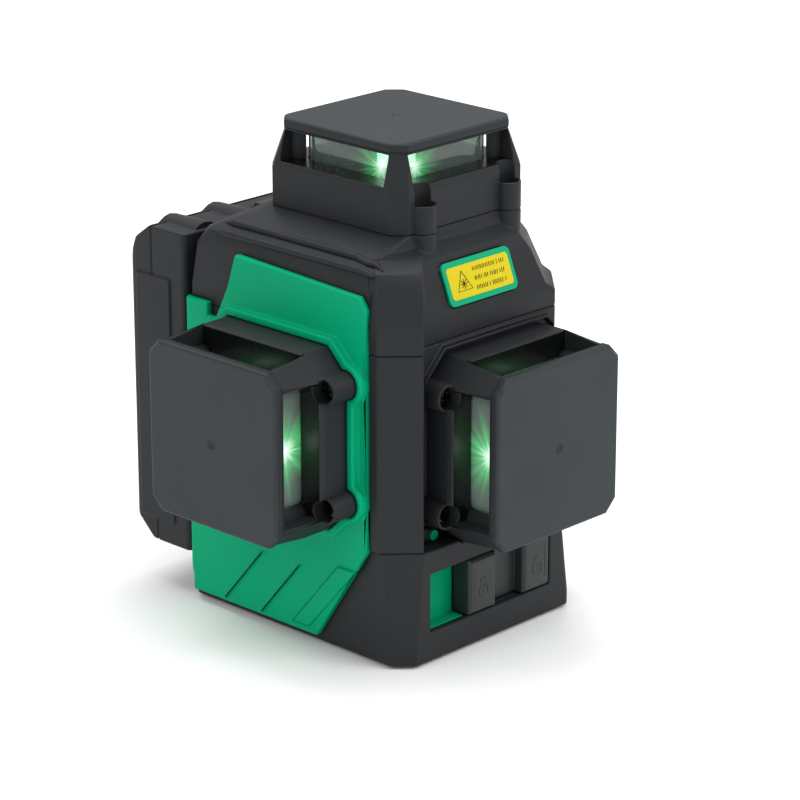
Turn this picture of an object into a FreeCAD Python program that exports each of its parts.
import FreeCAD, Part
import math
import os

# Self-levelling three-plane laser level.  Millimetres, +Z up.  The origin is the
# centre of the tripod thread's mouth, on the underside, below the top laser head.
# The front laser head looks along -Y, the left one along -X, the top one along +Z.

V = FreeCAD.Vector

# ---- driving dimensions of the housing ---------------------------------------
SHELL_LEFT = 39.2          # face under the left panel, distance from the origin
SHELL_RIGHT = 33.0         # face under the right panel
SHELL_FRONT = 35.5         # front face
SHELL_BACK = 37.0          # back face, which the battery stands against
PILLAR_CORNER = 8.2        # leg of the pillar's 45 degree facet
PILLAR_FRONT = 40.4        # front of the corner pillar and of the base
PILLAR_OUT = 1.0           # how far the pillar stands outside the left shell face
PILLAR_RETURN = 3.0        # flat strip between the facet and the left panel
PILLAR_INNER = 4.8         # strip of the pillar on the front face
FRONT_CORNER = 2.4         # leg of the housing's corner inside the pillar
RIGHT_CORNER = 11.0        # leg of the front right facet
BACK_CORNER = 1.5
SHELL_WALL = 2.2
PANEL = 2.0                # thickness of the coloured side panels
BASE_TOP = 30.0            # parting line between the base and the shells
SHELL_SPLIT = 82.0         # parting line between the shells and the top cover
SHOULDER = 86.5            # height where the housing starts to draw in
LEAN_FOOT = 88.5           # the front leans back from here
LEAN_START = 0.6           # and starts this far behind the front face
LEAN_IN = 3.6              # how far it leans back
BROW = 97.5                # up to this height
HIP = 101.5
NECK = 104.2               # foot of the upright band below the top head
HEAD_SEAT_TOP = 107.2      # top head's seat
PANEL_TOP = 98.0
FIT = 0.15                 # gap between a piece and the pocket that holds it
GAP = 0.3                  # gap between pieces that move past each other

# Sections of the housing above the shoulder: height, drawn in at the left, right,
# front and back, and the corner legs from the front left round to the back left.
HULL_STEPS = [
    (SHOULDER, 0, 0, 0, 0, (FRONT_CORNER, RIGHT_CORNER, BACK_CORNER, BACK_CORNER)),
    (LEAN_FOOT, 0, 2.0, LEAN_START, 0.5, (2.4, RIGHT_CORNER + 1.0, 3.0, BACK_CORNER)),
    (BROW, 0.3, 3.6, LEAN_START + LEAN_IN, 1.5, (2.6, RIGHT_CORNER + 1.5, 4.5, 2.0)),
    (HIP, 1.4, 6.3, 6.2, 3.6, (3.2, RIGHT_CORNER + 1.0, 6.0, 3.0)),
    (NECK, 5.2, 8.3, 10.6, 8.0, (5.0, RIGHT_CORNER - 2.0, 6.0, 4.0)),
]
# The pillar's sections: height, drawn in, back edge moved back.
PILLAR_STEPS = [(SHOULDER + 3.0, 0, 0), (BROW, 1.2, 0), (HIP, 3.4, 3.4), (NECK - 0.6, 6.8, 7.6)]

# ---- laser heads --------------------------------------------------------------
SIDE_PLATE = 45.8          # cap plate, side length
TOP_PLATE = 44.0
PLATE_CORNER = 3.5
PLATE_THICK = 2.5
PLATE_LIP = 0.2            # cap plate stands out over the posts by this much
PLATE_BEVEL = 0.6
SIDE_WINDOW = 12.2         # height of the openings between flange and cap plate
TOP_WINDOW = 9.0
SIDE_OPENING = 17.8        # half width of the openings
TOP_OPENING = 18.4
SILL = 0.6                 # window openings keep this far from flange and plate
FLANGE_HALF = 24.25
SIDE_CORNER = 6.4          # corner legs of the flanges
TOP_CORNER = 3.6
FLANGE_BAND = 1.2          # height over which the flange starts to taper
FRONT_FLANGE = 8.2
LEFT_FLANGE = 12.3
TOP_FLANGE = 11.3
FRONT_SEAT = 33.9          # front head's seat plane, in a pocket of the front face
FRONT_HEAD_Z = 53.8
LEFT_HEAD_Z = 58.0
POCKET_ROOM = 1.2          # room round the front flange in its pocket
GLASS_HALF = 17.0
GLASS_WALL = 1.5
GLASS_RADIUS = 4.0
GLASS_BITE = 0.6           # glass goes this far into the plate
SEAL_THICK = 1.1
DIMPLE_R = 2.0             # moulding dimple in the middle of each plate
DIMPLE_DEPTH = 0.6
EAR_OUT = 24.2             # screw ears: place, size and depth
EAR_SPACING = 31.2
EAR_RADIUS = 3.6
EAR_WALL = 0.8
EAR_DROP = 0.8             # screw ears end this far below a side head's flange
TOP_EAR = 7.3
CUP_DEPTH = 3.0            # depth of the screw cups in the ears
RIB_LENGTH = 7.5           # screw posts under the ears
SCREW_HEAD_R = 2.3
SCREW_HEAD_TALL = 1.7
SCREW_R = 1.0
SCREW_BITE = 6.0           # how far the screws reach into the housing
SLOT_HALF = 0.3            # half width of the screws' cross recess

# ---- pendulum and chassis -------------------------------------------------------
PIVOT_Z = 80.0
SWING_ROOM = 4.0           # play kept round the swinging pieces
PIN_R = 1.5
PIN_CLEARANCE = 0.03
BEARING_R = 3.2
BLOCK_HALF = 11.5
BLOCK_LOW = 37.0
BLOCK_HIGH = 68.0
BARREL_R = 5.0
BARREL_HOLE = 1.6
CONE_R = 4.4
CONE_LENGTH = 8.0
PLATE_DAMP = 2.0           # thickness of the damping plate
POST_AT = 20.5
POST_R = 2.2
BRIDGE_RISE = 6.5          # bridge above the pivot
BRIDGE_THICK = 2.5
LUG_INNER = 12.5
LUG_OUTER = 16.0
RING_HALF = 11.6
RING_HOLE = 7.2
RING_TALL = 3.8
HUB_HALF = 5.6
HUB_RISE = 5.0             # hub above the pivot
MAGNET_R = 9.0
MAGNET_THICK = 3.0

# ---- lock, tripod thread and feet ---------------------------------------------
WINDOW_LEFT = -29.3
WINDOW_RIGHT = 15.8
WINDOW_LOW = 7.9
WINDOW_HIGH = 23.6
LINER = 1.4                # wall of the tray behind the window
LINER_DEPTH = 7.6          # back of the tray behind the base's front
SLIDER_LENGTH = 30.7
SLIDER_TRAVEL = 14.0
SLIDER_SUNK = 3.0          # front of the slider's web behind the base's front
GRIP_WIDTH = 10.2
GRIP_PROUD = 0.4           # how far the grips stand out of the base's face
GRIP_BEVEL = 0.8
CARRIAGE_LOW = 12.2
NECK_LEFT = -0.5
NECK_WIDE = 5.0
ARM_TALL = 3.0
WEDGE_FOOT = 3.6           # height of the wedge's low end
WEDGE_HALF = 4.0
WEDGE_EXTRA = 1.5          # flat length kept beyond the plunger at both ends
PLUNGER_LIFT = 2.4
PLUNGER_R = 3.0
PLUNGER_ROOM = 2.0         # gap left between the locked plunger and the magnet
TIP_THICK = 1.6
WELL_HALF = 17.0           # opening in the base's top
THREAD_WALL_R = 2.55       # wall of a 1/4 inch tripod thread
THREAD_DEPTH = 9.0
INSERT_R = 5.0
BOTTOM_THICK = 2.4
FOOT_HEIGHT = 0.8
FOOT_SUNK = 0.7
FOOT_R = 4.0
FOOT_EDGE = 3.3            # feet keep this far from the base's wall
FOOT_TO_CORNER = 5.5       # and from the front right facet
BASE_SCREW_IN = 7.0
BASE_SCREW_Y = 14.0
BASE_SCREW_LENGTH = 9.0

# ---- keys, port and boards ------------------------------------------------------
BUTTON_R = 4.2
BUTTON_Y = 4.0
BUTTON_HEIGHTS = {"level_button": 74.0, "plumb_button": 62.0, "pulse_button": 50.0}
BUTTON_PROUD = 0.8
STEM_R = 1.6
PORT_Y = 4.0
PORT_Z = 36.5
SOCKET_WIDE = 4.6          # half sizes of the charge socket
SOCKET_TALL = 1.8
FLAP_THICK = 2.05
FLAP_HALF_WIDE = 9.0
FLAP_HALF_TALL = 5.0
BOARD_THICK = 1.6
BOARD_STANDOFF = 5.0       # driver board in front of the rear wall
KEY_STANDOFF = 4.0         # key board behind the right wall

# ---- battery ------------------------------------------------------------------
BATTERY_LEFT = 40.2
BATTERY_RIGHT = 33.6
BATTERY_THICK = 21.6
BATTERY_LOW = 11.5
BATTERY_HIGH = 99.0
BATTERY_WALL = 1.8
COVER_DEPTH = 9.0          # the pack's rear cover
CELL_R = 7.1
CELL_LENGTH = 50.0
CELL_COUNT = 4
CELL_RISE = 12.0           # lowest cell above the pack's foot
CONTACT_HALF = 9.0
CONTACT_LOW = 34.0
CONTACT_TALL = 7.0
BLADES = (-6, -2, 2, 6)    # places of the battery's contact blades
LATCH_HALF = 9.0
LATCH_TALL = 7.0
LATCH_THICK = 6.3
LATCH_PROUD = 1.4
LATCH_TRAVEL = 2.5
SPRING_R = 1.8
SPRING_WIRE = 0.25
SPRING_TURNS = 3

# ---- label plate ----------------------------------------------------------------
LABEL_X = -4.0
LABEL_WIDE = 25.0
LABEL_TALL = 11.2
LABEL_CORNER = 1.8
LABEL_PROUD = 0.7
LABEL_SUNK = 0.5
LABEL_RISE = 6.2           # middle of the label above the foot of the leaning face

# ---- sizes that follow from the ones above ----------------------------------------
SIDE_HALF = SIDE_PLATE / 2
TOP_HALF = TOP_PLATE / 2
EAR_V = EAR_SPACING / 2
PANEL_LEFT = SHELL_LEFT + PANEL
PANEL_RIGHT = SHELL_RIGHT + PANEL
PANEL_FRONT = -PILLAR_FRONT + PILLAR_CORNER + PILLAR_RETURN
BRIDGE_LOW = PIVOT_Z + BRIDGE_RISE
BRIDGE_HIGH = BRIDGE_LOW + BRIDGE_THICK
MAGNET_LOW = BLOCK_LOW - MAGNET_THICK
LINER_FRONT = PILLAR_FRONT - SHELL_WALL
LINER_BACK = PILLAR_FRONT - LINER_DEPTH
WEDGE_SLOPE = PLUNGER_LIFT / SLIDER_TRAVEL
PLUNGER_TOP = MAGNET_LOW - PLUNGER_LIFT - PLUNGER_ROOM
BOARD_BACK = SHELL_BACK - SHELL_WALL - BOARD_STANDOFF
KEY_BOARD_X = SHELL_RIGHT - SHELL_WALL - KEY_STANDOFF
CONTACT_HIGH = CONTACT_LOW + CONTACT_TALL
BATTERY_FRONT = SHELL_BACK + GAP
BATTERY_REAR = BATTERY_FRONT + BATTERY_THICK
FAR = 150.0                # further out than any piece

nodes = {}


# ---- shape helpers ------------------------------------------------------------
def box(x0, x1, y0, y1, z0, z1):
    return Part.makeBox(x1 - x0, y1 - y0, z1 - z0, V(x0, y0, z0))


def rod(radius, start, end):
    axis = V(*end) - V(*start)
    return Part.makeCylinder(radius, axis.Length, V(*start), axis)


def tube(outer, inner, start, end):
    return rod(outer, start, end).cut(rod(inner, start, end))


def polygon(points, z):
    corners = [V(x, y, z) for x, y in points]
    return Part.makePolygon(corners + corners[:1])


def prism(points, z0, z1):
    return Part.Face(polygon(points, z0)).extrude(V(0, 0, z1 - z0))


def prism_x(points, x0, x1):
    corners = [V(x0, y, z) for y, z in points]
    outline = Part.makePolygon(corners + corners[:1])
    return Part.Face(outline).extrude(V(x1 - x0, 0, 0))


def facet_face(corners):
    return Part.Face(Part.makePolygon(corners + corners[:1]))


def wall_faces(lower, upper):
    """Faces that join two outlines with the same number of corners, as flat quads or triangles."""
    faces = []
    for i in range(len(lower)):
        j = (i + 1) % len(lower)
        a, b, c, d = lower[i], lower[j], upper[j], upper[i]
        if abs((b - a).cross(c - a).dot(d - a)) < 1e-6:
            faces.append(facet_face([a, b, c, d]))
        else:
            faces += [facet_face([a, b, c]), facet_face([a, c, d])]
    return faces


def loft(sections):
    """Solid with flat faces through a stack of (outline, height)."""
    rings = [[V(x, y, z) for x, y in points] for points, z in sections]
    faces = [facet_face(rings[0]), facet_face(rings[-1])]
    for lower, upper in zip(rings, rings[1:]):
        faces += wall_faces(lower, upper)
    shell = Part.makeShell(faces)
    solid = Part.makeSolid(shell)
    if solid.Volume < 0:
        solid.reverse()
    return solid


def facets(left, right, front, back, legs):
    """Rectangle with 45 degree corners; the four sizes are distances from the origin.

    legs are the corner legs: front left, front right, back right, back left."""
    fl, fr, br, bl = legs
    return [(-left, -front + fl), (-left + fl, -front), (right - fr, -front), (right, -front + fr),
            (right, back - br), (right - br, back), (-left + bl, back), (-left, back - bl)]


def square_facets(half, corner):
    return facets(half, half, half, half, [corner] * 4)


def rounded_box(half, radius, z0, z1):
    solid = box(-half, half, -half, half, z0, z1)
    upright = [e for e in solid.Edges if abs(e.Vertexes[0].Z - e.Vertexes[-1].Z) > 1e-6]
    return solid.makeFillet(radius, upright)


def fuse(shapes):
    joined = shapes[0].multiFuse(shapes[1:]) if len(shapes) > 1 else shapes[0]
    return joined.removeSplitter()


def cut(shape, tools):
    return shape.cut(Part.makeCompound(tools)) if tools else shape


def group(shapes):
    return Part.makeCompound(shapes)


def save(name, shape):
    nodes[name] = shape


# ---- where each head sits: local +Z points out of the housing ------------------
def front_place():
    return FreeCAD.Placement(V(0, -FRONT_SEAT, FRONT_HEAD_Z), FreeCAD.Rotation(V(1, 0, 0), 90))


def left_place():
    turn = FreeCAD.Rotation(V(0, 0, 1), -90) * FreeCAD.Rotation(V(1, 0, 0), 90)
    return FreeCAD.Placement(V(-SHELL_LEFT, 0, LEFT_HEAD_Z), turn)


def top_place():
    return FreeCAD.Placement(V(0, 0, HEAD_SEAT_TOP), FreeCAD.Rotation(V(0, 0, 1), 90))


class Head:
    """One laser head: where it sits and its own sizes."""

    def __init__(self, place, flange, window, opening, plate_half, corner, ear, sides):
        self.place = place
        self.flange = flange
        self.plate_back = flange + window
        self.opening = opening
        self.plate_half = plate_half
        self.corner = corner
        self.ear = ear
        self.sides = sides


HEADS = {
    "front": Head(front_place(), FRONT_FLANGE, SIDE_WINDOW, SIDE_OPENING, SIDE_HALF, SIDE_CORNER,
                  FRONT_FLANGE - EAR_DROP, (-1, 1)),
    "left": Head(left_place(), LEFT_FLANGE, SIDE_WINDOW, SIDE_OPENING, SIDE_HALF, SIDE_CORNER,
                 LEFT_FLANGE - EAR_DROP, (-1, 1)),
    "top": Head(top_place(), TOP_FLANGE, TOP_WINDOW, TOP_OPENING, TOP_HALF, TOP_CORNER, TOP_EAR, (-1,)),
}


def placed(shape, place):
    copy = shape.copy()
    copy.Placement = place.multiply(copy.Placement)
    return copy


def ear_points(sides):
    return [(side * EAR_OUT, end * EAR_V) for side in sides for end in (-1, 1)]


# ---- laser heads ----------------------------------------------------------------
def head_cage(head):
    """Flange, four corner posts and cap plate, moulded in one; it tapers towards the plate."""
    back = head.plate_back
    face = back + PLATE_THICK
    skirt = head.flange - FLANGE_BAND
    wide = square_facets(FLANGE_HALF, head.corner)
    narrow = square_facets(head.plate_half - PLATE_LIP, PLATE_CORNER + PLATE_LIP)
    plate = square_facets(head.plate_half, PLATE_CORNER)
    body = [prism(wide, 0, skirt), loft([(wide, skirt), (narrow, back)])]
    body.append(loft([(plate, back), (plate, face - PLATE_BEVEL),
                      (square_facets(head.plate_half - PLATE_BEVEL, PLATE_CORNER), face)]))
    for u, v in ear_points(head.sides):
        body.append(rod(EAR_RADIUS, (u, v, 0), (u, v, head.ear)))
    tools = [rounded_box(GLASS_HALF + FIT, GLASS_RADIUS + FIT, -1, back + GLASS_BITE + FIT)]
    low = head.flange + SILL
    high = back - SILL
    reach = FLANGE_HALF + EAR_RADIUS
    tools.append(box(-reach, reach, -head.opening, head.opening, low, high))
    tools.append(box(-head.opening, head.opening, -reach, reach, low, high))
    for u, v in ear_points(head.sides):
        tools.append(rod(EAR_RADIUS - EAR_WALL, (u, v, head.ear - CUP_DEPTH), (u, v, low)))
        tools.append(rod(SCREW_R + FIT, (u, v, -1), (u, v, head.flange)))
    tools.append(Part.makeSphere(DIMPLE_R, V(0, 0, face + DIMPLE_R - DIMPLE_DEPTH)))
    return cut(fuse(body), tools)


def head_glass(head):
    end = head.plate_back + GLASS_BITE
    outer = rounded_box(GLASS_HALF, GLASS_RADIUS, SEAL_THICK + FIT, end)
    inner = rounded_box(GLASS_HALF - GLASS_WALL, GLASS_RADIUS - GLASS_WALL, 0, end + 1)
    return outer.cut(inner)


def head_seal():
    """Rubber frame that the glass stands on."""
    outer = rounded_box(GLASS_HALF, GLASS_RADIUS, 0, SEAL_THICK)
    inner = rounded_box(GLASS_HALF - GLASS_WALL, GLASS_RADIUS - GLASS_WALL, -1, 2)
    return outer.cut(inner)


def head_screw(u, v, head):
    seat = head.ear - CUP_DEPTH
    top = seat + SCREW_HEAD_TALL
    button = rod(SCREW_HEAD_R, (u, v, seat), (u, v, top))
    rim = [e for e in button.Edges if abs(e.BoundBox.ZMin - top) < 1e-6 and len(e.Vertexes) == 1]
    button = button.makeFillet(0.7, rim[:1])
    arm = 0.6 * SCREW_HEAD_R
    cross = [box(u - arm, u + arm, v - SLOT_HALF, v + SLOT_HALF, top - 1.0, top + 1),
             box(u - SLOT_HALF, u + SLOT_HALF, v - arm, v + arm, top - 1.0, top + 1)]
    shank = rod(SCREW_R, (u, v, -SCREW_BITE), (u, v, seat))
    return cut(fuse([button, shank]), cross)


def build_heads():
    for name, head in HEADS.items():
        save(name + "_head_cage", placed(head_cage(head), head.place))
        save(name + "_head_glass", placed(head_glass(head), head.place))
        save(name + "_head_seal", placed(head_seal(), head.place))
        screws = [head_screw(u, v, head) for u, v in ear_points(head.sides)]
        save(name + "_head_screws", placed(group(screws), head.place))


def head_seat(head):
    """Pad and screw posts of the housing that a head is fastened to."""
    pad = prism(square_facets(FLANGE_HALF - 1.0, head.corner), -SHELL_WALL, 0)
    posts = [rod(EAR_RADIUS, (u, v, -RIB_LENGTH), (u, v, 0)) for u, v in ear_points(head.sides)]
    return [placed(piece, head.place) for piece in [pad] + posts]


def seat_holes(head):
    """Screw holes of a seat and the opening that the laser barrel comes through."""
    holes = [rod(SCREW_R, (u, v, -RIB_LENGTH + 1.0), (u, v, 1)) for u, v in ear_points(head.sides)]
    holes.append(rounded_box(GLASS_HALF - GLASS_WALL - 1.0, GLASS_RADIUS, -SHELL_WALL - 12, 1))
    return [placed(hole, head.place) for hole in holes]


# ---- housing ----------------------------------------------------------------------
def hull(grow, side_grow):
    """Closed form of the upper housing, grown by the given amounts."""
    sections = []
    for height, left, right, front, back, legs in HULL_STEPS:
        outline = facets(SHELL_LEFT - left + side_grow, SHELL_RIGHT - right + side_grow,
                         SHELL_FRONT - front + grow, SHELL_BACK - back + grow, legs)
        sections.append((outline, height))
    seat = square_facets(FLANGE_HALF - 0.2 + min(grow, 0), TOP_CORNER)
    lower = prism(sections[0][0], BASE_TOP, SHOULDER)
    return fuse([lower, loft(sections + [(seat, HEAD_SEAT_TOP)])])


def pillar_outline(inset, back_inset=0):
    """Section of the corner pillar, drawn in by inset; its back edge moves back by back_inset."""
    out = SHELL_LEFT + PILLAR_OUT - inset
    front = PILLAR_FRONT - inset
    panel_edge = PANEL_FRONT + back_inset
    right = -out + PILLAR_CORNER + PILLAR_INNER
    return [(-out, panel_edge), (-out, -front + PILLAR_CORNER), (-out + PILLAR_CORNER, -front),
            (right, -SHELL_FRONT + inset), (right, panel_edge)]


def pillar():
    """Corner pillar at the front left, standing proud of both faces."""
    lower = prism(pillar_outline(0), BASE_TOP, PILLAR_STEPS[0][0])
    upper = loft([(pillar_outline(inset, moved), height) for height, inset, moved in PILLAR_STEPS])
    return fuse([lower, upper])


def housing_skin():
    """Hollow housing above the base, in one piece, with the seats of the three heads."""
    outer = fuse([hull(0, 0), pillar()])
    inner = hull(-SHELL_WALL, -SHELL_WALL)
    lowered = inner.copy()
    lowered.translate(V(0, 0, -SHELL_WALL))
    skin = outer.cut(fuse([inner, lowered]))
    depth = PILLAR_FRONT - FRONT_SEAT
    pocket = [prism(square_facets(FLANGE_HALF + POCKET_ROOM, SIDE_CORNER), 0, depth)]
    pocket += [rod(EAR_RADIUS + POCKET_ROOM, (u, v, 0), (u, v, depth)) for u, v in ear_points((-1, 1))]
    skin = cut(skin, [placed(p, front_place()) for p in pocket])
    seats = []
    holes = []
    for head in HEADS.values():
        seats += head_seat(head)
        holes += seat_holes(head)
    return cut(fuse([skin] + seats), holes)


def half_space(y0, y1, z0, z1):
    return box(-FAR, FAR, y0, y1, z0, z1)


def port_box(x0, x1, wide, tall):
    """Box round the charge port, from its half width and half height."""
    return box(x0, x1, PORT_Y - wide, PORT_Y + wide, PORT_Z - tall, PORT_Z + tall)


def build_shells(skin):
    holes = [rod(STEM_R + 1.0, (SHELL_RIGHT - 5, BUTTON_Y, z), (SHELL_RIGHT + 1, BUTTON_Y, z))
             for z in BUTTON_HEIGHTS.values()]
    wide = SOCKET_WIDE + GAP
    tall = SOCKET_TALL + GAP
    holes.append(port_box(SHELL_RIGHT - 5, SHELL_RIGHT + 1, wide, tall))
    holes.append(box(-CONTACT_HALF, CONTACT_HALF, SHELL_BACK - 5, SHELL_BACK + 1, CONTACT_LOW, CONTACT_HIGH))
    skin = fuse([cut(skin, holes)] + board_posts())
    save("front_shell", skin.common(half_space(-FAR, 0, BASE_TOP, SHELL_SPLIT)))
    save("rear_shell", skin.common(half_space(0, FAR, BASE_TOP, SHELL_SPLIT)))
    save("top_cover", skin.common(half_space(-FAR, FAR, SHELL_SPLIT, HEAD_SEAT_TOP)))


def board_posts():
    """Posts that the two circuit boards are screwed to."""
    wall = SHELL_BACK - SHELL_WALL / 2
    posts = [rod(2.0, (x, BOARD_BACK, z), (x, wall, z)) for x in (-20, 20) for z in (46, 78)]
    posts += [rod(2.0, (KEY_BOARD_X, 13.0, z), (SHELL_RIGHT - SHELL_WALL / 2, 13.0, z)) for z in (42, 79)]
    return posts


def panel_outline(front, top):
    """Side view of the coloured panel: points are (depth, height)."""
    back = SHELL_BACK - 0.4
    notch = SHOULDER - 6.8
    step = SHOULDER - 3.3
    return [(front + 18.0, 2.0), (front, BASE_TOP - 0.5), (front, top - 5.0), (front + 2.5, top - 1.8),
            (back - 19.0, top), (back - 16.4, top - 9.0), (back - 11.8, notch), (back - 8.8, notch),
            (back - 8.8, step), (back, step), (back, 11.0), (back - 1.5, 6.0), (back - 1.5, 2.0)]


def right_panel_outline():
    """Side view of the right panel, which ends below the shoulder."""
    front = -SHELL_FRONT + RIGHT_CORNER + 5.0
    back = SHELL_BACK - 0.4
    top = SHOULDER - 2.0
    return [(front + 10.0, 2.0), (front, BASE_TOP - 0.5), (front, top - 4.0), (front + 4.0, top),
            (back - 6.0, top), (back, top - 6.0), (back, 11.0), (back - 1.5, 6.0), (back - 1.5, 2.0)]


def side_panel(side):
    """Coloured cover plate; side is -1 for left and 1 for right."""
    wide = fuse([hull(0, PANEL), base_form(PANEL)])
    core = fuse([hull(0, 0), base_form(0)])
    outline = panel_outline(PANEL_FRONT + FIT, PANEL_TOP) if side < 0 else right_panel_outline()
    slab = prism_x(outline, side * SHELL_RIGHT / 2, side * FAR)
    skin = wide.common(slab).cut(core)
    return max(skin.Solids, key=lambda solid: solid.Volume)


def panel_ribs(side):
    """Slanting ribs at the foot of a side panel; each is (depth at the foot, width, low, high)."""
    ribs = []
    face = PANEL_LEFT if side < 0 else PANEL_RIGHT
    slope = 0.85
    for foot, width, low, high in ((21.9, 0.9, 3.2, 20.0), (8.2, 0.9, 3.2, 20.0), (-8.8, 6.0, 4.0, 23.6)):
        run = (high - low) * slope
        points = [(foot, low), (foot + width, low), (foot + width - run, high), (foot - run, high)]
        ribs.append(prism_x(points, side * (face - 0.5), side * (face + 0.6)))
    return ribs


def base_form(side_grow):
    """Solid form of the base; its sides may be grown to the outside of the panels."""
    low = facets(SHELL_LEFT + side_grow, SHELL_RIGHT + side_grow, PILLAR_FRONT, SHELL_BACK,
                 [PILLAR_CORNER - 3.5, RIGHT_CORNER - 1.0, BACK_CORNER, BACK_CORNER])
    high = facets(SHELL_LEFT + side_grow, SHELL_RIGHT + side_grow, PILLAR_FRONT, SHELL_BACK,
                  [PILLAR_CORNER - 1.0, RIGHT_CORNER + 2.5, BACK_CORNER, BACK_CORNER])
    return fuse([prism(low, 0, 4.0), loft([(low, 4.0), (high, BASE_TOP)])])


def build_panels():
    rise = PANEL + 2.1
    collar = placed(prism(square_facets(FLANGE_HALF + 2.2, SIDE_CORNER + 1.0), 0.1, rise), left_place())
    lobes = [placed(rod(EAR_RADIUS + 1.6, (u, v, 0.1), (u, v, rise)), left_place())
             for u, v in ear_points((-1, 1))]
    opening = [prism(square_facets(FLANGE_HALF + FIT, SIDE_CORNER), -1, LEFT_FLANGE)]
    opening += [rod(EAR_RADIUS + FIT, (u, v, -1), (u, v, LEFT_FLANGE)) for u, v in ear_points((-1, 1))]
    left = fuse([side_panel(-1), collar] + lobes + panel_ribs(-1))
    save("left_panel", cut(left, [placed(o, left_place()) for o in opening]))
    holes = [rod(BUTTON_R + GAP, (SHELL_RIGHT - 1, BUTTON_Y, z), (PANEL_RIGHT + 1, BUTTON_Y, z))
             for z in BUTTON_HEIGHTS.values()]
    wide = FLAP_HALF_WIDE + GAP
    tall = FLAP_HALF_TALL + GAP
    holes.append(port_box(SHELL_RIGHT - 1, PANEL_RIGHT + 1, wide, tall))
    save("right_panel", cut(fuse([side_panel(1)] + panel_ribs(1)), holes))


def build_base():
    cavity = prism(base_inside(0), -1, BASE_TOP - SHELL_WALL)
    body = base_form(0).cut(cavity)
    hole = box(-WELL_HALF, WELL_HALF, -WELL_HALF, WELL_HALF, BASE_TOP - 5, BASE_TOP + 1)
    window = box(WINDOW_LEFT, WINDOW_RIGHT, -PILLAR_FRONT - 1, -PILLAR_FRONT + 5, WINDOW_LOW, WINDOW_HIGH)
    room = placed(prism(square_facets(FLANGE_HALF + GAP, SIDE_CORNER), 0, LEFT_FLANGE), front_place())
    save("base_frame", cut(body, [hole, window, room]))
    plate = prism(base_inside(FIT), 0, BOTTOM_THICK)
    boss = rod(INSERT_R + 2.0, (0, 0, 0), (0, 0, THREAD_DEPTH + 1.0))
    plate = fuse([plate, boss]).cut(rod(INSERT_R, (0, 0, -1), (0, 0, THREAD_DEPTH + 5)))
    tools = [rod(FOOT_R + FIT, (x, y, -1), (x, y, FOOT_SUNK + 0.1)) for x, y in foot_centres()]
    tools += [rod(1.2, (x, y, -1), (x, y, BOTTOM_THICK + 1)) for x, y in base_screw_centres()]
    tools += [rod(2.4, (x, y, -1), (x, y, 1.2)) for x, y in base_screw_centres()]
    save("bottom_cover", cut(plate, tools))
    feet = [rod(FOOT_R, (x, y, -FOOT_HEIGHT), (x, y, FOOT_SUNK)) for x, y in foot_centres()]
    save("rubber_feet", group(feet))
    save("tripod_insert", tube(INSERT_R - 0.02, THREAD_WALL_R, (0, 0, 0), (0, 0, THREAD_DEPTH)))
    screws = [fuse([rod(2.1, (x, y, 0.0), (x, y, 1.1)), rod(SCREW_R, (x, y, 1.1), (x, y, BASE_SCREW_LENGTH))])
              for x, y in base_screw_centres()]
    save("base_screws", group(screws))
    posts = []
    for x, y in base_screw_centres():
        post = rod(2.6, (x, y, BOTTOM_THICK), (x, y, BASE_TOP - SHELL_WALL))
        posts.append(post.cut(rod(SCREW_R, (x, y, 0), (x, y, BASE_SCREW_LENGTH + 0.5))))
    nodes["base_frame"] = fuse([nodes["base_frame"]] + posts)


def base_inside(inset):
    """Outline of the base's cavity."""
    wall = SHELL_WALL + inset
    return facets(SHELL_LEFT - wall, SHELL_RIGHT - wall, PILLAR_FRONT - wall, SHELL_BACK - wall,
                  [PILLAR_CORNER - 2.7, RIGHT_CORNER + 2.5, 2.0, 2.0])


def foot_centres():
    inset = FOOT_R + SHELL_WALL + FOOT_EDGE
    left = -SHELL_LEFT + inset
    front = -PILLAR_FRONT + inset
    back = SHELL_BACK - inset
    return [(left, front), (SHELL_RIGHT - RIGHT_CORNER - FOOT_TO_CORNER, front), (left, back),
            (SHELL_RIGHT - inset, back)]


def base_screw_centres():
    return [(x, y) for x in (-SHELL_LEFT + BASE_SCREW_IN, SHELL_RIGHT - BASE_SCREW_IN)
            for y in (-BASE_SCREW_Y, BASE_SCREW_Y)]


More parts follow.
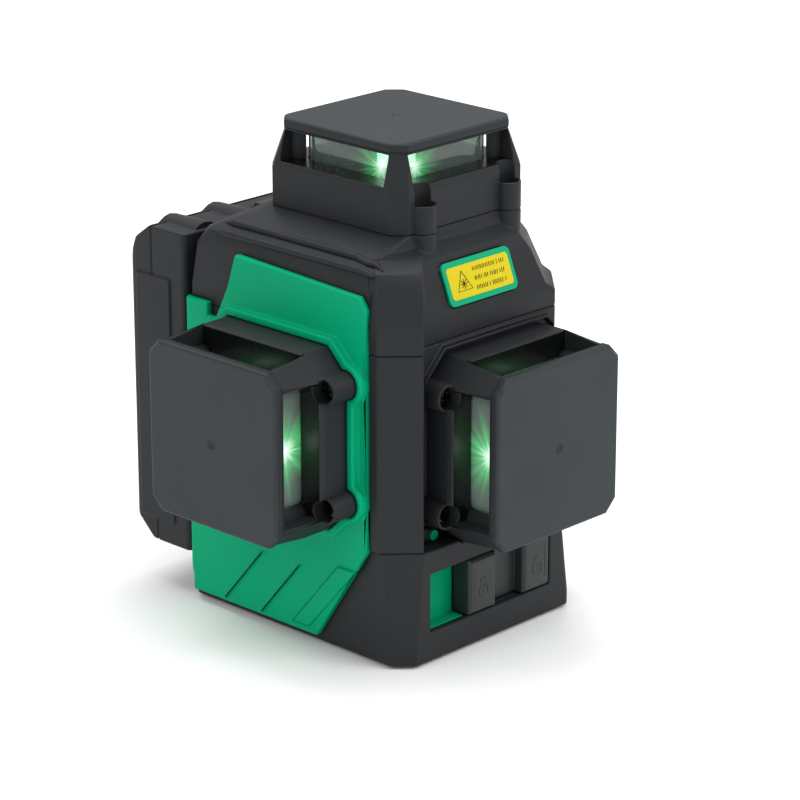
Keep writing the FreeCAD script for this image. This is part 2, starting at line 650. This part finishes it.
# ---- lock -------------------------------------------------------------------------
def build_lock():
    tray = box(WINDOW_LEFT - LINER, WINDOW_RIGHT + LINER, -LINER_FRONT, -LINER_BACK,
               WINDOW_LOW - LINER, WINDOW_HIGH + LINER)
    hollow = box(WINDOW_LEFT, WINDOW_RIGHT, -LINER_FRONT - 1, -LINER_BACK - LINER, WINDOW_LOW, WINDOW_HIGH)
    slot = box(NECK_LEFT - SLIDER_TRAVEL - GAP, NECK_LEFT + NECK_WIDE + GAP, -LINER_BACK - 3, -LINER_BACK + 1,
               CARRIAGE_LOW - 2 * GAP, CARRIAGE_LOW + ARM_TALL + GAP)
    save("window_liner", cut(tray, [hollow, slot]))

    right = WINDOW_RIGHT - GAP
    left = right - SLIDER_LENGTH
    low = WINDOW_LOW + GAP
    high = WINDOW_HIGH - GAP
    web = -PILLAR_FRONT + SLIDER_SUNK
    plate = box(left, right, web, -LINER_BACK - LINER - GAP, low, high)
    grips = []
    for start in (left, right - GRIP_WIDTH):
        grip = box(start, start + GRIP_WIDTH, -PILLAR_FRONT - GRIP_PROUD, web, low, high)
        outer_edges = [e for e in grip.Edges if abs(e.BoundBox.YMax + PILLAR_FRONT + GRIP_PROUD) < 1e-6]
        grips.append(grip.makeChamfer(GRIP_BEVEL, outer_edges))
    save("lock_slider", fuse([plate] + grips))

    arm_top = CARRIAGE_LOW + ARM_TALL
    neck = box(NECK_LEFT, NECK_LEFT + NECK_WIDE, -LINER_BACK - LINER - GAP, WEDGE_HALF, CARRIAGE_LOW, arm_top)
    start = -PLUNGER_R - WEDGE_EXTRA
    reach = SLIDER_TRAVEL + PLUNGER_R + WEDGE_EXTRA
    top = CARRIAGE_LOW + WEDGE_FOOT
    profile = [V(start, -WEDGE_HALF, CARRIAGE_LOW), V(reach, -WEDGE_HALF, CARRIAGE_LOW),
               V(reach, -WEDGE_HALF, top + WEDGE_SLOPE * (reach - start)), V(start, -WEDGE_HALF, top)]
    wedge = Part.Face(Part.makePolygon(profile + profile[:1])).extrude(V(0, 2 * WEDGE_HALF, 0))
    save("lock_carriage", fuse([neck, wedge]))

    foot_low = top - WEDGE_SLOPE * start + GAP + WEDGE_SLOPE * PLUNGER_R
    tip_low = PLUNGER_TOP - TIP_THICK
    save("lock_plunger", rod(PLUNGER_R, (0, 0, foot_low), (0, 0, tip_low)))
    save("plunger_tip", rod(PLUNGER_R, (0, 0, tip_low), (0, 0, PLUNGER_TOP)))


# ---- chassis and pendulum ---------------------------------------------------------
def build_chassis():
    half = WELL_HALF + 6.0
    plate_top = BASE_TOP + PLATE_DAMP
    plate = box(-half, half, -half, half, BASE_TOP, plate_top)
    save("damping_plate", plate.cut(rod(PLUNGER_R + 0.8, (0, 0, BASE_TOP - 1), (0, 0, plate_top + 1))))
    corners = [(sx * POST_AT, sy * POST_AT) for sx in (-1, 1) for sy in (-1, 1)]
    save("chassis_posts", group([rod(POST_R, (x, y, plate_top), (x, y, BRIDGE_LOW)) for x, y in corners]))
    bridge = prism(square_facets(POST_AT + 3.0, 4.0), BRIDGE_LOW, BRIDGE_HIGH)
    lugs = [box(min(s * LUG_INNER, s * LUG_OUTER), max(s * LUG_INNER, s * LUG_OUTER), -5.0, 5.0,
                PIVOT_Z - 5.5, BRIDGE_LOW) for s in (-1, 1)]
    bridge = fuse([bridge] + lugs)
    tools = [rod(BARREL_R + SWING_ROOM, (0, 0, BRIDGE_LOW - 1), (0, 0, BRIDGE_HIGH + 1))]
    tools.append(rod(BEARING_R, (-LUG_OUTER - 1, 0, PIVOT_Z), (LUG_OUTER + 1, 0, PIVOT_Z)))
    save("gimbal_bridge", cut(bridge, tools))
    save("pitch_bearings", group([tube(BEARING_R, PIN_R + PIN_CLEARANCE, (s * LUG_INNER, 0, PIVOT_Z),
                                       (s * LUG_OUTER, 0, PIVOT_Z)) for s in (-1, 1)]))


def build_gimbal():
    ring = box(-RING_HALF, RING_HALF, -RING_HALF, RING_HALF, PIVOT_Z - RING_TALL, PIVOT_Z + RING_TALL)
    tools = [box(-RING_HOLE, RING_HOLE, -RING_HOLE, RING_HOLE, PIVOT_Z - 10, PIVOT_Z + 10)]
    tools.append(rod(BEARING_R, (0, -RING_HALF - 1, PIVOT_Z), (0, RING_HALF + 1, PIVOT_Z)))
    tools.append(rod(PIN_R, (-RING_HALF - 1, 0, PIVOT_Z), (RING_HALF + 1, 0, PIVOT_Z)))
    save("gimbal_ring", cut(ring, tools))
    inner = RING_HOLE + 0.4
    outer = LUG_OUTER - 0.3
    save("pitch_pins", group([rod(PIN_R, (s * inner, 0, PIVOT_Z), (s * outer, 0, PIVOT_Z)) for s in (-1, 1)]))
    save("roll_bearings", group([tube(BEARING_R, PIN_R + PIN_CLEARANCE, (0, s * (RING_HOLE + 0.2), PIVOT_Z),
                                      (0, s * RING_HALF, PIVOT_Z)) for s in (-1, 1)]))


def build_pendulum():
    hub = box(-HUB_HALF, HUB_HALF, -HUB_HALF, HUB_HALF, BLOCK_HIGH, PIVOT_Z + HUB_RISE)
    save("pendulum_hub", hub.cut(rod(PIN_R, (0, -10, PIVOT_Z), (0, 10, PIVOT_Z))))
    save("roll_pin", rod(PIN_R, (0, -RING_HALF + 0.3, PIVOT_Z), (0, RING_HALF - 0.3, PIVOT_Z)))
    block = prism(square_facets(BLOCK_HALF, 2.0), BLOCK_LOW, BLOCK_HIGH)
    socket = rod(BARREL_R, (0, -2.0, FRONT_HEAD_Z), (0, -BLOCK_HALF - 1, FRONT_HEAD_Z))
    save("pendulum_block", block.cut(socket))
    ring = tube(MAGNET_R, PLUNGER_R + 1.5, (0, 0, MAGNET_LOW), (0, 0, BLOCK_LOW))
    save("damping_magnet", ring)
    front_end = FRONT_SEAT + FRONT_FLANGE + 1.0
    left_end = SHELL_LEFT + LEFT_FLANGE + 1.0
    top_end = HEAD_SEAT_TOP + TOP_FLANGE - 1.0
    save("front_laser", tube(BARREL_R, BARREL_HOLE, (0, -2.0, FRONT_HEAD_Z), (0, -front_end, FRONT_HEAD_Z)))
    save("left_laser", tube(BARREL_R, BARREL_HOLE, (-BLOCK_HALF, 0, LEFT_HEAD_Z),
                            (-left_end, 0, LEFT_HEAD_Z)))
    save("top_laser", tube(BARREL_R, BARREL_HOLE, (0, 0, PIVOT_Z + HUB_RISE), (0, 0, top_end)))
    save("front_cone", cone((0, -front_end, FRONT_HEAD_Z), (0, -1, 0)))
    save("left_cone", cone((-left_end, 0, LEFT_HEAD_Z), (-1, 0, 0)))
    save("top_cone", cone((0, 0, top_end), (0, 0, 1)))


def cone(base, direction):
    """Glass cylinder with a conical hollow that throws the beam out all round."""
    body = Part.makeCylinder(CONE_R, CONE_LENGTH, V(*base), V(*direction))
    mouth = V(*base) + V(*direction) * CONE_LENGTH
    hollow = Part.makeCone(CONE_R - 0.6, 0, CONE_LENGTH - 2.0, mouth, V(*direction) * -1)
    return body.cut(hollow)


# ---- electronics and keys ---------------------------------------------------------
def build_electronics():
    """Driver board, key board, the three keys, the charge socket and its flap."""
    save("driver_board", box(-24, 24, BOARD_BACK - BOARD_THICK, BOARD_BACK, 42, 82))
    save("key_board", box(KEY_BOARD_X - BOARD_THICK, KEY_BOARD_X, -8, 16, 32.2, 82))
    seat = SHELL_RIGHT + 1.5
    face = PANEL_RIGHT + BUTTON_PROUD
    for name, z in BUTTON_HEIGHTS.items():
        cap = rod(BUTTON_R, (seat, BUTTON_Y, z), (face, BUTTON_Y, z))
        rim = [e for e in cap.Edges if abs(e.BoundBox.XMin - face) < 1e-6 and len(e.Vertexes) == 1]
        cap = cap.makeFillet(0.5, rim[:1])
        save(name, fuse([cap, rod(STEM_R, (KEY_BOARD_X + 2.0, BUTTON_Y, z), (seat, BUTTON_Y, z))]))
    socket = port_box(KEY_BOARD_X, SHELL_RIGHT - 0.2, SOCKET_WIDE, SOCKET_TALL)
    mouth = port_box(SHELL_RIGHT - 4.0, SHELL_RIGHT + 1, SOCKET_WIDE - 0.8, SOCKET_TALL - 0.8)
    save("charge_socket", socket.cut(mouth))
    knuckle = (FLAP_THICK - FIT) / 2
    axis_x = SHELL_RIGHT + GAP + knuckle
    axis_z = PORT_Z - FLAP_HALF_TALL + knuckle
    near = PORT_Y - FLAP_HALF_WIDE
    far = PORT_Y + FLAP_HALF_WIDE
    leaf = box(axis_x - knuckle, axis_x + knuckle, near, far, axis_z, PORT_Z + FLAP_HALF_TALL)
    save("port_flap", fuse([leaf, rod(knuckle, (axis_x, near, axis_z), (axis_x, far, axis_z))]))


# ---- battery ----------------------------------------------------------------------
def battery_side(inset):
    """Side view of the pack: points are (depth, height)."""
    front = BATTERY_FRONT + inset
    rear = BATTERY_REAR - inset
    low = BATTERY_LOW + inset
    high = BATTERY_HIGH - inset
    return [(front, low), (rear - 7.0, low), (rear, low + 6.5), (rear, high - 11.0), (rear - 2.6, high - 4.0),
            (rear - 8.0, high), (front, high)]


def battery_form(inset):
    """Solid form of the pack, drawn in on all sides."""
    left = BATTERY_LEFT - inset
    right = BATTERY_RIGHT - inset
    plan = facets(left, right, -BATTERY_FRONT - inset, BATTERY_REAR - inset, (1.0, 1.0, 1.5, 1.5))
    return prism_x(battery_side(inset), -left, right).common(prism(plan, 0, FAR))


def build_battery():
    """Pack of four cells with its latch, and the contact block in the housing."""
    shell = battery_form(0).cut(battery_form(BATTERY_WALL))
    split = BATTERY_REAR - COVER_DEPTH
    latch_foot = BATTERY_HIGH - LATCH_TALL
    latch_room = box(-LATCH_HALF - GAP, LATCH_HALF + GAP, BATTERY_FRONT - 1,
                     BATTERY_FRONT + LATCH_THICK + 0.7, latch_foot - LATCH_TRAVEL - GAP, BATTERY_HIGH + 1)
    terminals = box(-CONTACT_HALF + 1, CONTACT_HALF - 1, BATTERY_FRONT - 1, BATTERY_FRONT + 5,
                    CONTACT_LOW + 1, CONTACT_HIGH - 1)
    front_half = shell.common(half_space(0, split, 0, FAR))
    save("battery_case", cut(front_half, [latch_room, terminals]))
    save("battery_cover", shell.common(half_space(split, FAR, 0, FAR)))
    middle = (BATTERY_RIGHT - BATTERY_LEFT) / 2
    depth = BATTERY_FRONT + BATTERY_THICK / 2
    left = middle - CELL_LENGTH / 2
    right = middle + CELL_LENGTH / 2
    cells = []
    for i in range(CELL_COUNT):
        height = BATTERY_LOW + CELL_RISE + CELL_R + i * (2 * CELL_R + 1.0)
        cells.append(rod(CELL_R, (left, depth, height), (right, depth, height)))
    save("battery_cells", group(cells))
    blades = [box(x - 0.5, x + 0.5, BATTERY_FRONT + 0.2, BATTERY_FRONT + 4.0,
                  CONTACT_LOW + 1.2, CONTACT_HIGH - 1.2) for x in BLADES]
    save("battery_contacts", group(blades))
    save("contact_block", box(-CONTACT_HALF + FIT, CONTACT_HALF - FIT, SHELL_BACK - 4.0, SHELL_BACK,
                              CONTACT_LOW + FIT, CONTACT_HIGH - FIT))
    save("battery_latch", box(-LATCH_HALF, LATCH_HALF, BATTERY_FRONT + GAP, BATTERY_FRONT + GAP + LATCH_THICK,
                              latch_foot, BATTERY_HIGH + LATCH_PROUD))
    save("latch_spring", spring(latch_foot - LATCH_TRAVEL - GAP, latch_foot))


def spring(z0, z1):
    """Coil spring under the latch."""
    height = z1 - z0 - 2 * SPRING_WIRE
    helix = Part.makeHelix(height / SPRING_TURNS, height, SPRING_R)
    section = Part.Wire([Part.makeCircle(SPRING_WIRE, V(SPRING_R, 0, 0), V(0, 1, 0))])
    coil = Part.Wire(helix).makePipeShell([section], True, True)
    coil.translate(V(0, BATTERY_FRONT + 3.4, z0 + SPRING_WIRE))
    return coil


# ---- label plate --------------------------------------------------------------------
def build_label():
    """Plate on the leaning upper front face, in a shallow recess."""
    rise = BROW - LEAN_FOOT
    lean = math.degrees(math.atan2(LEAN_IN, rise))
    plate = box(-LABEL_WIDE / 2, LABEL_WIDE / 2, -LABEL_PROUD, LABEL_SUNK, -LABEL_TALL / 2, LABEL_TALL / 2)
    upright = [e for e in plate.Edges if abs(e.Vertexes[0].Y - e.Vertexes[-1].Y) > 1e-6]
    plate = plate.makeFillet(LABEL_CORNER, upright)
    depth = SHELL_FRONT - LEAN_START - LEAN_IN * LABEL_RISE / rise
    centre = V(LABEL_X, -depth, LEAN_FOOT + LABEL_RISE)
    plate.Placement = FreeCAD.Placement(centre, FreeCAD.Rotation(V(1, 0, 0), -lean))
    save("caution_plate", plate)
    nodes["top_cover"] = nodes["top_cover"].cut(plate)


def export():
    os.makedirs("parts", exist_ok=True)
    for name, shape in nodes.items():
        shape.exportStep("parts/" + name + ".step")
        print(name, len(shape.Solids), round(shape.Volume, 1), shape.isValid())


build_heads()
build_shells(housing_skin())
build_panels()
build_base()
build_lock()
build_chassis()
build_gimbal()
build_pendulum()
build_electronics()
build_battery()
build_label()
export()
